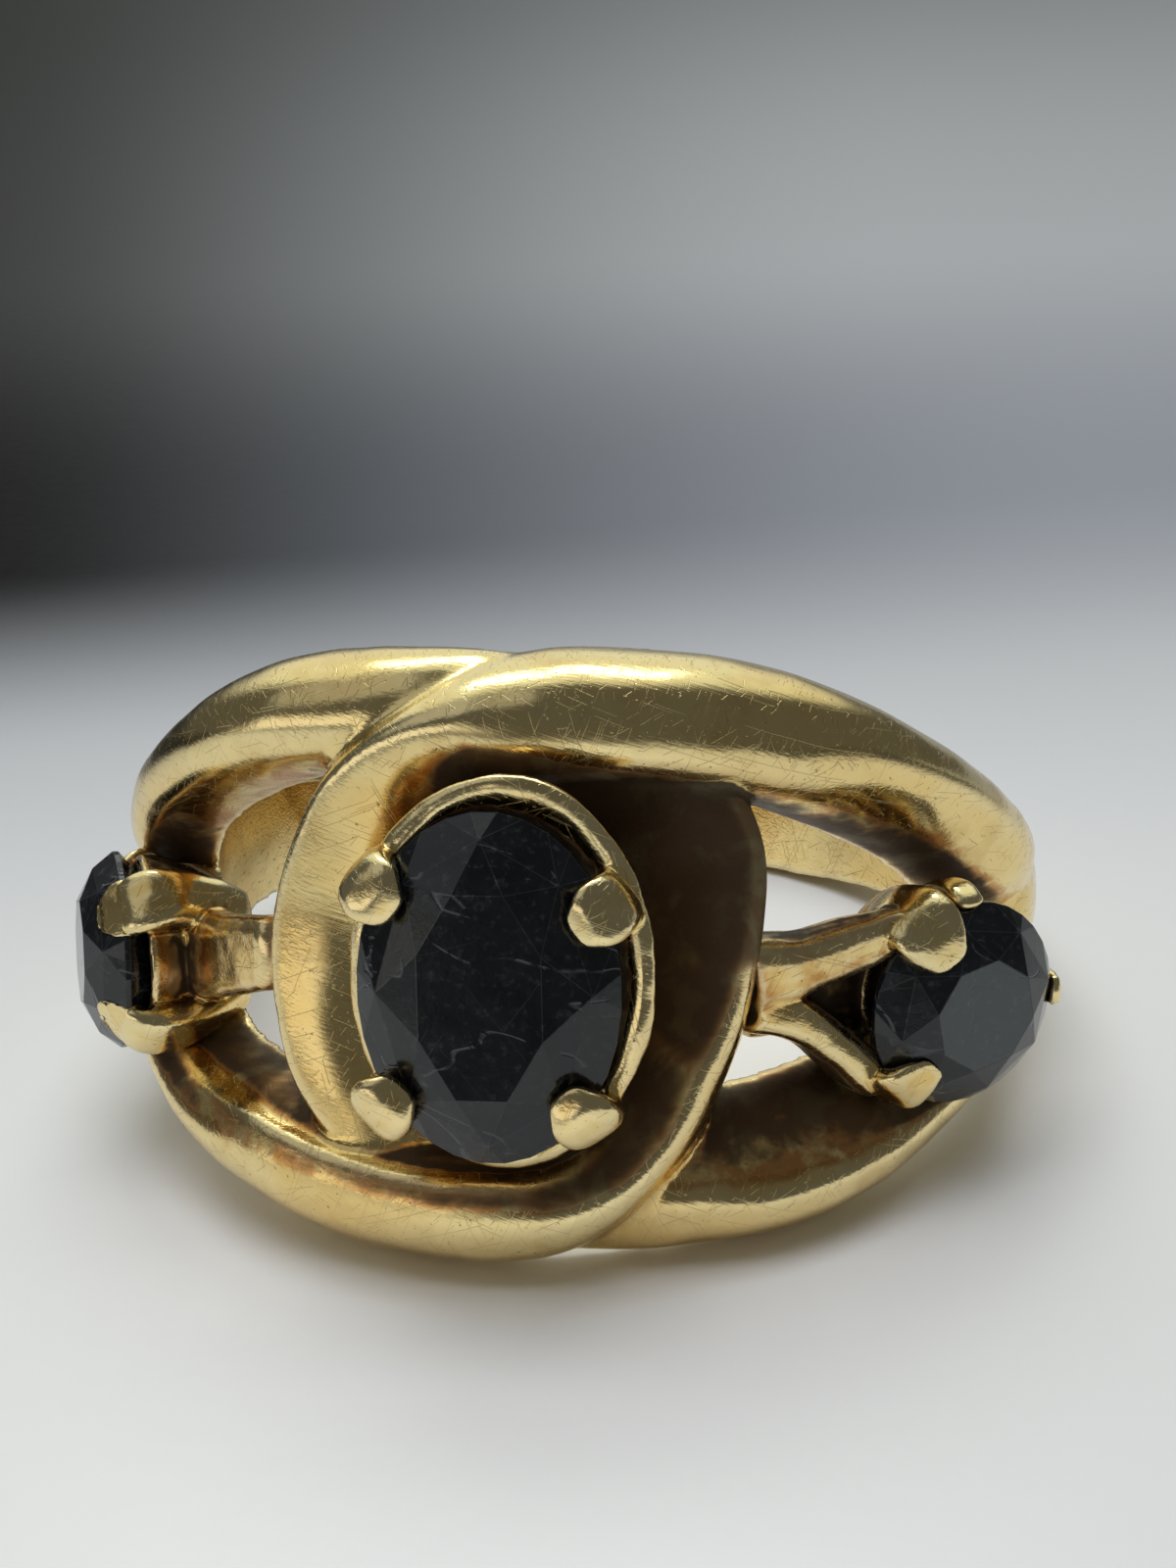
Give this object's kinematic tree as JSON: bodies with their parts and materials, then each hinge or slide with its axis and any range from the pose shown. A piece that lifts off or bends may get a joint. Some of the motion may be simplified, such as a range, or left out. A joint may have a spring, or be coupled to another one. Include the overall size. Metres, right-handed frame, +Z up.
{
  "type": "three stone ring",
  "caption": "Worn gold finger ring whose shank splits into interlaced ribbon links around an oval dark stone in claws, with a small round stone in claws at either side.",
  "frame": {"origin": "centre of the footprint, on the surface the ring lies on", "axes": "+Z up from that surface, -Y from the back of the shank towards the head, +X to the right as the head is looked at"},
  "size_m": [0.0218, 0.0232, 0.0123],
  "materials": {
    "gold": "worn yellow gold with fine scratches and dark patina in the recesses",
    "oval_stone": "polished facets with abraded edges, nearly black blue",
    "round_stone": "polished facets with abraded edges, nearly black blue"
  },
  "bodies": {
    "root": {"ring_body": "gold", "center_stone": "oval_stone", "right_stone": "round_stone", "left_stone": "round_stone"}
  },
  "joints": []
}
